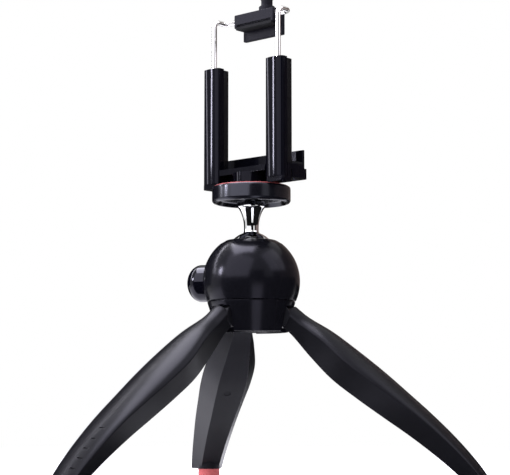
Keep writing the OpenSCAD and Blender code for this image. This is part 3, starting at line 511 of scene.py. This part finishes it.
# Each leg is one bowed black moulding: a broad crown outside, sloping sides and a flat inner face.
# It turns on a steel pin in the hub and stands on a red rubber foot that is plugged into its end.
HINGE_R, HINGE_Z, SPLAY = 15.512, 83, 40
LEG_START, BOW_START, LEG_END, LEG_CUT, LEG_EDGE_R = 2.2, 9, 131, 5.7, 0.45
ROOT_W, HALF_W, CROWN, DEPTH, FLAT_W = 5.85, 13.3, 12.7, 7.3, 8.9
# Width, crown, edge, depth and flat face at even steps from the root, as shares of those sizes
LEG_SHARES = [
    (0, 0.62, 0.24, 0.42, 0.52), (0.53, 0.80, 0.38, 0.70, 0.66), (0.95, 0.87, 0.36, 0.88, 0.80),
    (1, 0.90, 0.42, 0.78, 0.78), (0.88, 0.88, 0.50, 0.60, 0.72), (0.75, 0.84, 0.56, 0.40, 0.66),
    (0.60, 0.75, 0.52, 0.30, 0.60), (0.45, 0.57, 0.40, 0.34, 0.54), (0.31, 0.30, 0.16, 0.56, 0.48),
]
LEG_STEPS, CROWN_STEPS, FLATTEN = 60, 28, 0.3
RING_STEPS = CROWN_STEPS + 3


def shares_at(t):
    """The shares at one place along the leg, on a smooth curve through the list."""
    last = len(LEG_SHARES) - 1
    i = min(int(t * last), last - 1)
    f = t * last - i
    rows = [LEG_SHARES[min(max(i + k, 0), last)] for k in (-1, 0, 1, 2)]
    return [b + f * (c - a + f * (2 * a - 5 * b + 4 * c - d + f * (3 * (b - c) + d - a))) / 2
            for a, b, c, d in zip(*rows)]


def leg_point(x, i):
    """One point of the leg's skin in millimetres, at a distance along it and a step round it."""
    width, crown, edge, depth, flat = shares_at(max(0, (x - BOW_START) / (LEG_END - BOW_START)))
    half_w = ROOT_W + (HALF_W - ROOT_W) * width
    edge_h = CROWN * edge
    step = i % RING_STEPS
    if step <= CROWN_STEPS:
        a = math.pi * step / CROWN_STEPS
        rise = (1 - FLATTEN) * math.sin(a) + FLATTEN * math.sin(a) ** 2
        return x, half_w * math.cos(a), edge_h + (CROWN * crown - edge_h) * rise
    side = -1 if step == CROWN_STEPS + 1 else 1
    return x, side * FLAT_W * flat, -DEPTH * depth


def soften(piece, width, segments=2, angle=40):
    """Rounds the sharp edges."""
    work(piece, "BEVEL", width=width * MM, segments=segments, limit_method="ANGLE",
         angle_limit=math.radians(angle))


bpy.ops.object.select_all(action="DESELECT")
bpy.ops.mesh.primitive_grid_add(x_subdivisions=LEG_STEPS, y_subdivisions=RING_STEPS, size=1)
leg = bpy.context.object
for point in leg.data.vertices:
    x = LEG_START + (LEG_END - LEG_START) * (point.co.x + 0.5)
    point.co = Vector(leg_point(x, round((point.co.y + 0.5) * RING_STEPS))) * MM
bpy.ops.object.mode_set(mode="EDIT")
seal(open_ends=True)
soften(leg, LEG_EDGE_R, angle=25)

# The leg's root runs into its knuckle, a round barrel that fits the slot.
KNUCKLE_OUTLINE = [(0, -5.9), (5.3, -5.9), (5.6, -5.6), (5.6, 5.6), (5.3, 5.9), (0, 5.9)]
knuckle = spun("knuckle", KNUCKLE_OUTLINE, steps=64)
knuckle.rotation_euler = (math.radians(90), 0, 0)
settle(knuckle)
carve(leg, knuckle, "UNION")

# Five short ticks are pressed into one flank of the crown, and the inner face keeps a round ejector mark.
TICKS, TICK_Y, TICK_L, TICK_W, TICK_DEPTH = (93, 99.5, 105, 110.5, 116), 4.8, 3.8, 0.5, 0.35
MARK_X, MARK_Y, MARK_R, MARK_DEPTH, CUT_REACH = 50, 1.5, 2.0, 0.3, 6


def bar(radius, low, high):
    """The outline of a plain round bar."""
    return [(0, low), (radius, low), (radius, high), (0, high)]


for x in TICKS:
    crown_line = [leg_point(x, i) for i in range(CROWN_STEPS + 1)]
    flank_z = min(crown_line, key=lambda spot: abs(spot[1] - TICK_Y))[2]
    tick = block("tick", (x - TICK_W / 2, TICK_Y - TICK_L / 2, flank_z - TICK_DEPTH),
                 (x + TICK_W / 2, TICK_Y + TICK_L / 2, flank_z + CUT_REACH))
    carve(leg, tick)
face_z = leg_point(MARK_X, CROWN_STEPS + 1)[2]
mark_outline = bar(MARK_R, face_z - CUT_REACH, face_z + MARK_DEPTH)
carve(leg, spun("mark", mark_outline, (MARK_X * MM, MARK_Y * MM, 0), steps=32))

# The leg is swung out on its hinge, and its end is cut level on a round heel that holds the rubber foot.
HEEL_R, HEEL_NECK_R, HEEL_BEND_Z, HEEL_TOP, HEEL_DROP = 6.3, 5.6, 9, 11, 1
FLOOR_LOW, FLOOR_HIGH = (60, -20, -60), (140, 20, LEG_CUT)
FOOT_REACH, FOOT_R, FOOT_EDGE_R, GROOVE_R = 106.035, 5.85, 0.9, 5.7
place(leg, (HINGE_R * MM, 0, HINGE_Z * MM), tip=SPLAY)
foot_middle = (FOOT_REACH * MM, 0, 0)
heel_outline = [
    (0, LEG_CUT - HEEL_DROP), (HEEL_R, LEG_CUT - HEEL_DROP), (HEEL_R, HEEL_BEND_Z), (HEEL_NECK_R, HEEL_TOP),
    (0, HEEL_TOP),
]
carve(leg, spun("heel", heel_outline, foot_middle, steps=64), "UNION")
carve(leg, block("floor", FLOOR_LOW, FLOOR_HIGH))
smooth(leg, angle=30)
leg_satin = Finish("leg_black", Specular_IOR_Level=0.09, Specular_Tint=(0.86, 0.85, 1, 1))
leg_satin.grain(scale=5200, shades=[(0.0035, 0.0035, 0.0042), (0.0055, 0.0055, 0.0068)],
                rough=(0.27, 0.10), relief=0.008, cloud=60)
foot_outline = (
    [(0, 0), (4.9, 0)]
    + arc((FOOT_R - FOOT_EDGE_R, FOOT_EDGE_R), FOOT_EDGE_R, -90, 0, 6)
    + [(FOOT_R, 4.2), (GROOVE_R, 4.35), (GROOVE_R, 4.6), (FOOT_R, 4.75), (FOOT_R, LEG_CUT), (0, LEG_CUT)]
)


def copy_of(piece, name):
    """A copy with a mesh of its own."""
    twin = piece.copy()
    twin.data = piece.data.copy()
    twin.name = name
    twin.data.name = name
    bpy.context.collection.objects.link(twin)
    return twin


for leg_name, turn in LEG_TURNS.items():
    blade = place(copy_of(leg, "bowed_leg_" + leg_name), centre, turn)
    dress(leg_satin, blade)
    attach(blade, leg_name + "_leg")
    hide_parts("leg_" + leg_name)
    shoe = place(spun("rubber_foot_" + leg_name, foot_outline, foot_middle, steps=64), centre, turn)
    smooth(shoe)
    dress(coral, shoe)
    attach(shoe, leg_name + "_leg")
    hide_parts("foot_" + leg_name)
bpy.data.objects.remove(leg, do_unlink=True)

# The pins, the screws, the stud and the parts of the lock are plain steel, cut and pressed, with faint
# drawing marks. They sit inside the housing, the head plate and the clamp, where little of them shows.
steel = Finish("steel", Metallic=1)
steel.grain(scale=900, shades=[(0.62, 0.61, 0.60), (0.74, 0.73, 0.72)],
            rough=(0.05, 0.08), relief=0.002, stretch=(1, 1, 0.05))
dress(steel, "shell_screws", "leg_pins", "pressure_plate", "lock_slide", "mount_screw", "clip_screws")

# The clamp's base is a gloss black moulding: a round boss on the head plate, a bridge between two blocks,
# and a ledge with a lip for what it holds. A brass insert in the boss takes the stud.
SIDES = {"left": -1, "right": 1}
SLEEVE_X, SLEEVE_Z, SPLIT_Y = 20.9, 155.603, -3.4
SOCKET_Z, SOCKET_HALF_W, SOCKET_D, BASE_EDGE_R, OVERRUN = 149.2, 5.9, 8, 0.3, 0.1
TRIANGLE_MERGE, FLAT_ANGLE = 0.005, 1
gloss = Finish("gloss_black", Specular_IOR_Level=0.07, Specular_Tint=(0.85, 0.84, 1, 1))
gloss.grain(scale=220, shades=[(0.001, 0.001, 0.0022), (0.002, 0.002, 0.0035)],
            rough=(0.05, 0.05), detail=2, relief=0.006)

# The loose triangles of its solid become whole faces, and each block gets a socket for a sleeve's end.
base = copy_of(nodes["clip_base"], "clamp_base")
pick(base)
bpy.ops.object.mode_set(mode="EDIT")
bpy.ops.mesh.select_all(action="SELECT")
bpy.ops.mesh.remove_doubles(threshold=TRIANGLE_MERGE * MM)
bpy.ops.mesh.dissolve_limited(angle_limit=math.radians(FLAT_ANGLE))
bpy.ops.object.mode_set(mode="OBJECT")
for side in SIDES.values():
    low = (side * SLEEVE_X - SOCKET_HALF_W, SPLIT_Y - SOCKET_D, SOCKET_Z)
    high = (side * SLEEVE_X + SOCKET_HALF_W, SPLIT_Y, SLEEVE_Z + OVERRUN)
    carve(base, place(block("socket", low, high), centre))
soften(base, BASE_EDGE_R)
smooth(base)
dress(gloss, base)
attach(base, "clip")
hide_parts("clip_base")

# The insert is turned brass.
brass = Finish("brass", Metallic=1)
brass.grain(scale=1500, shades=[(0.6, 0.4, 0.14), (0.72, 0.5, 0.2)],
            rough=(0.25, 0.1), detail=2, stretch=(1, 1, 0.2))
dress(brass, "socket_insert")

# The pads on the ledge and under the jaw are dark rubber.
rubber = Finish("dark_rubber", Specular_IOR_Level=0.1)
rubber.grain(scale=3500, shades=[(0.004, 0.004, 0.005), (0.006, 0.006, 0.0075)],
             rough=(0.6, 0.2), relief=0.02)
dress(rubber, "base_pad", "jaw_pad")

# Two sleeves stand on the base, each a D-shaped gloss black moulding with a flat cover in front of it.
# A round channel down each pair holds a rod of the bail and its spring.
SLEEVE_HALF_W, SLEEVE_BACK, SLEEVE_TOP, BULGE, SLEEVE_EDGE_R = 5.5, -7, 207.403, 0.9, 0.15
OUTER_CORNER, INNER_CORNER, CORNER_STEP = 2.4, 1.2, 2
ROD_X, ROD_Y, CHANNEL_R, CHANNEL_OVERRUN = 21.3, -4.3, 2.7, 1
COVER_DROP, COVER_EDGE_R = 0.7, 0.3
BUSH_OUTLINE = [
    (1.35, 203.0), (2.68, 203.0), (2.68, 207.2), (2.5, 207.4), (1.7, 207.4), (1.35, 207.1), (1.35, 203.0),
]


def slab(name, corners, bottom, top):
    """A flat piece in millimetres: its outline is drawn point by point and pulled up."""
    piece = new_point(name)
    draw([at(x, y, bottom) for x, y in corners])
    bpy.ops.mesh.select_all(action="SELECT")
    bpy.ops.mesh.edge_face_add()
    bpy.ops.mesh.extrude_region_move(TRANSFORM_OT_translate={"value": (0, 0, (top - bottom) * MM)})
    seal()
    return piece


def oblong(low_x, low_y, high_x, high_y):
    """The four corners of an oblong."""
    return [(low_x, low_y), (high_x, low_y), (high_x, high_y), (low_x, high_y)]


def sleeve_plan():
    """A sleeve's outline seen from above: flat in front and bulged behind, between two rounded corners."""
    bulge_r = (SLEEVE_HALF_W ** 2 + BULGE ** 2) / (2 * BULGE)
    bulge_y = SLEEVE_BACK - BULGE + bulge_r
    halves = []
    for sign, corner in ((1, OUTER_CORNER), (-1, INNER_CORNER)):
        lean = math.degrees(math.asin((SLEEVE_HALF_W - corner) / (bulge_r - corner)))
        corner_y = bulge_y - (bulge_r - corner) * math.cos(math.radians(lean))
        half = [(SLEEVE_HALF_W, SPLIT_Y)]
        half += arc((SLEEVE_HALF_W - corner, corner_y), corner, 0, lean - 90, 8)
        half += arc((0, bulge_y), bulge_r, lean - 90 - CORNER_STEP, -90, 7)
        halves.append([(sign * x, y) for x, y in half])
    outer, inner = halves
    return outer + inner[-2::-1]


def channel(side):
    """The tool for the round channel beside the middle of a sleeve."""
    outline = bar(CHANNEL_R, SLEEVE_Z - CHANNEL_OVERRUN, SLEEVE_TOP + CHANNEL_OVERRUN)
    return spun("channel", outline, at(side * ROD_X, ROD_Y, 0), steps=48)


cover_gloss = Finish("cover_black", Specular_IOR_Level=0.12)
cover_gloss.grain(scale=300, shades=[(0.0025, 0.0025, 0.003), (0.004, 0.004, 0.005)],
                  rough=(0.16, 0.08), detail=2, relief=0.006)
for side_name, side in SIDES.items():
    plan = [(side * (SLEEVE_X + x), y) for x, y in sleeve_plan()]
    sleeve = slab("sleeve_back_" + side_name, plan, SOCKET_Z, SLEEVE_TOP)
    soften(sleeve, SLEEVE_EDGE_R)
    carve(sleeve, channel(side))
    smooth(sleeve, angle=30)
    dress(gloss, sleeve)
    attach(sleeve, "clip")
    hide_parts("sleeve_" + side_name)
    cover_plan = oblong(side * SLEEVE_X - SLEEVE_HALF_W, SPLIT_Y, side * SLEEVE_X + SLEEVE_HALF_W, 0)
    cover = slab("sleeve_cover_" + side_name, cover_plan, SLEEVE_Z, SLEEVE_TOP - COVER_DROP)
    soften(cover, COVER_EDGE_R)
    carve(cover, channel(side))
    smooth(cover, angle=30)
    dress(cover_gloss, cover)
    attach(cover, "clip")
    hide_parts("cover_" + side_name)
    bush = spun("rod_bush_" + side_name, BUSH_OUTLINE, at(side * ROD_X, ROD_Y, 0), steps=48)
    smooth(bush)
    dress(nylon, bush)
    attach(bush, "clip")
    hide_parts("bush_" + side_name)

# The springs are cold-wound steel wire: one round each rod inside its sleeve, one behind the button.
# The long ones shorten when the bail is pulled up, and the short one when the button is pressed.
SPRING_BOTTOM, SPRING_TOP, SPRING_MEAN_R, SPRING_WIRE_R, SPRING_TURNS = 171.0, 203.0, 1.93, 0.33, 18
COIL_SIDES, COIL_STEPS = 10, 20


def wound(name, length, mean_r, wire_r, turns):
    """A spring that stands on the origin: a ring of wire swept along a screw, with its ends closed."""
    bpy.ops.object.select_all(action="DESELECT")
    bpy.ops.mesh.primitive_circle_add(
        vertices=COIL_SIDES, radius=wire_r * MM, fill_type="NGON",
        location=(mean_r * MM, 0, wire_r * MM), rotation=(math.radians(90), 0, 0),
    )
    piece = bpy.context.object
    piece.name = name
    settle(piece)
    rise = (length - 2 * wire_r) / turns * MM
    work(piece, "SCREW", axis="Z", angle=math.tau, iterations=turns, screw_offset=rise,
         steps=COIL_STEPS, render_steps=COIL_STEPS, use_merge_vertices=False)
    bpy.ops.object.mode_set(mode="EDIT")
    seal(open_ends=True)
    smooth(piece, angle=60)
    return piece


for side_name, side in SIDES.items():
    coil = wound("rod_coil_" + side_name, SPRING_TOP - SPRING_BOTTOM, SPRING_MEAN_R, SPRING_WIRE_R,
                 SPRING_TURNS)
    place(coil, at(side * ROD_X, ROD_Y, SPRING_BOTTOM))
    dress(steel, coil)
    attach(coil, "clip")
    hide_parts("spring_" + side_name)
    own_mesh(coil)

# The short spring lies level behind the button, in line with its travel.
SHORT_START, SHORT_L, SHORT_MEAN_R, SHORT_WIRE_R, SHORT_TURNS = 15.8, 8.6, 2.8, 0.35, 7
push = Vector((math.cos(math.radians(BUTTON_TURN)), math.sin(math.radians(BUTTON_TURN)), 0))
spring_foot = Vector(at(0, 0, BUTTON_Z)) + push * SHORT_START * MM
button_coil = wound("button_coil", SHORT_L, SHORT_MEAN_R, SHORT_WIRE_R, SHORT_TURNS)
place(button_coil, spring_foot, BUTTON_TURN, tip=90)
dress(steel, button_coil)
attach(button_coil, "housing")
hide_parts("button_spring")
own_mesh(button_coil)

# The bail is one bright steel wire, bent four times: two rods, two arms forward and a bar through the jaw.
# A pressed stop on each rod's lower end holds the spring.
WIRE_R, WIRE_SIDES, ROD_BOTTOM = 1.3, 24, 168.0
BEND_R, BEND_STEPS, WIRE_Y, WIRE_Z = 3.0, 12, 4.4, 232.203
bpy.ops.object.select_all(action="DESELECT")
bpy.ops.mesh.primitive_circle_add(vertices=WIRE_SIDES, radius=WIRE_R * MM, fill_type="NGON",
                                  location=(-ROD_X * MM, ROD_Y * MM, ROD_BOTTOM * MM))
wire = bpy.context.object
wire.name = "bright_bail"
settle(wire)
bpy.ops.object.mode_set(mode="EDIT")
bpy.ops.mesh.select_all(action="SELECT")


def run_on(step):
    """Pulls the wire's open end straight on by so many millimetres."""
    bpy.ops.mesh.extrude_region_move(TRANSFORM_OT_translate={"value": [s * MM for s in step]})


def bend(middle, axis):
    """Bends the wire's open end through a quarter turn."""
    centre_of_bend = [m * MM for m in middle]
    bpy.ops.mesh.spin(steps=BEND_STEPS, angle=math.radians(90), center=centre_of_bend, axis=axis)


low_z, arm_l = WIRE_Z - BEND_R, WIRE_Y - ROD_Y - 2 * BEND_R
run_on((0, 0, low_z - ROD_BOTTOM))
bend((-ROD_X, ROD_Y + BEND_R, low_z), (1, 0, 0))
run_on((0, arm_l, 0))
bend((-ROD_X + BEND_R, WIRE_Y - BEND_R, WIRE_Z), (0, 0, 1))
run_on((2 * (ROD_X - BEND_R), 0, 0))
bend((ROD_X - BEND_R, WIRE_Y - BEND_R, WIRE_Z), (0, 0, 1))
run_on((0, -arm_l, 0))
bend((ROD_X, ROD_Y + BEND_R, low_z), (-1, 0, 0))
run_on((0, 0, ROD_BOTTOM - low_z))
seal()
place(wire, centre)
smooth(wire, angle=40)
dress(steel, wire)
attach(wire, "bail")
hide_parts("wire_bail")
dress(steel, "bail_stops")

# The upper jaw is a slate grey moulding that the wire runs through, with a lip in front and a pad below.
# A pull knob stands on a round foot on top of it, waisted so that a finger can get under its head.
JAW_X, JAW_Y, JAW_D, JAW_Z, JAW_H, JAW_EDGE_R = 13.0, 1.3, 9.2, 228.2, 6.9, 0.5
LIP_T, LIP_H = 2.4, 5.7
WIRE_HOLE_R, WIRE_HOLE_REACH = 1.35, 20
slate = Finish("slate_plastic", Specular_IOR_Level=0.08)
slate.grain(scale=4200, shades=[(0.0048, 0.0046, 0.0078), (0.0068, 0.0065, 0.0108)],
            rough=(0.45, 0.15), relief=0.015)
front_y, jaw_top = JAW_Y + JAW_D, JAW_Z + JAW_H
jaw = slab("jaw_bar", oblong(-JAW_X, JAW_Y, JAW_X, front_y), JAW_Z, jaw_top)
lip = slab("lip", oblong(-JAW_X, front_y - LIP_T, JAW_X, front_y), JAW_Z - LIP_H, JAW_Z + JAW_H / 2)
carve(jaw, lip, "UNION")
soften(jaw, JAW_EDGE_R, segments=3)
wire_tool = spun("wire_hole", bar(WIRE_HOLE_R, -WIRE_HOLE_REACH, WIRE_HOLE_REACH), steps=32)
carve(jaw, place(wire_tool, at(0, WIRE_Y, WIRE_Z), tip=90))
smooth(jaw, angle=30)
dress(slate, jaw)
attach(jaw, "bail")
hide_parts("upper_jaw")

# A small turned ring sits on the wire at each end of the jaw.
RING_OUTLINE = [
    (1.32, 0), (1.95, 0), (2.05, 0.15), (2.05, 0.5), (1.6, 0.6), (1.6, 0.9), (1.9, 1.0), (1.9, 1.3),
    (1.7, 1.4), (1.32, 1.4), (1.32, 0),
]
for side_name, side in SIDES.items():
    ring = spun("jaw_ring_" + side_name, RING_OUTLINE, steps=32)
    place(ring, at(side * JAW_X, WIRE_Y, WIRE_Z), tip=side * 90)
    smooth(ring)
    dress(steel, ring)
    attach(ring, "bail")

# The knob's outline is given by radii and heights above its base, and its foot reaches down to the jaw.
KNOB_X, KNOB_Y, KNOB_Z, KNOB_FOOT_R = 4.5, 6.5, 236.303, 4.0
KNOB_PROFILE = [
    (KNOB_FOOT_R, 0.9), (3.75, 1.2), (3.1, 1.2), (2.87, 1.45), (2.85, 4.4), (3.1, 4.75), (3.9, 5.4),
    (4.6, 6.0), (4.95, 6.6), (5.0, 7.2), (4.9, 8.4), (4.5, 9.6), (3.7, 10.5), (2.5, 11.0), (1.2, 11.18),
    (0, 11.2),
]
foot_z = jaw_top - OVERRUN
knob_outline = [(0, foot_z), (KNOB_FOOT_R, foot_z)] + [(r, KNOB_Z + z) for r, z in KNOB_PROFILE]
knob = spun("waisted_knob", knob_outline, at(KNOB_X, KNOB_Y, 0), steps=64)
smooth(knob, angle=40)
dress(slate, knob)
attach(knob, "bail")
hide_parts("pull_knob")
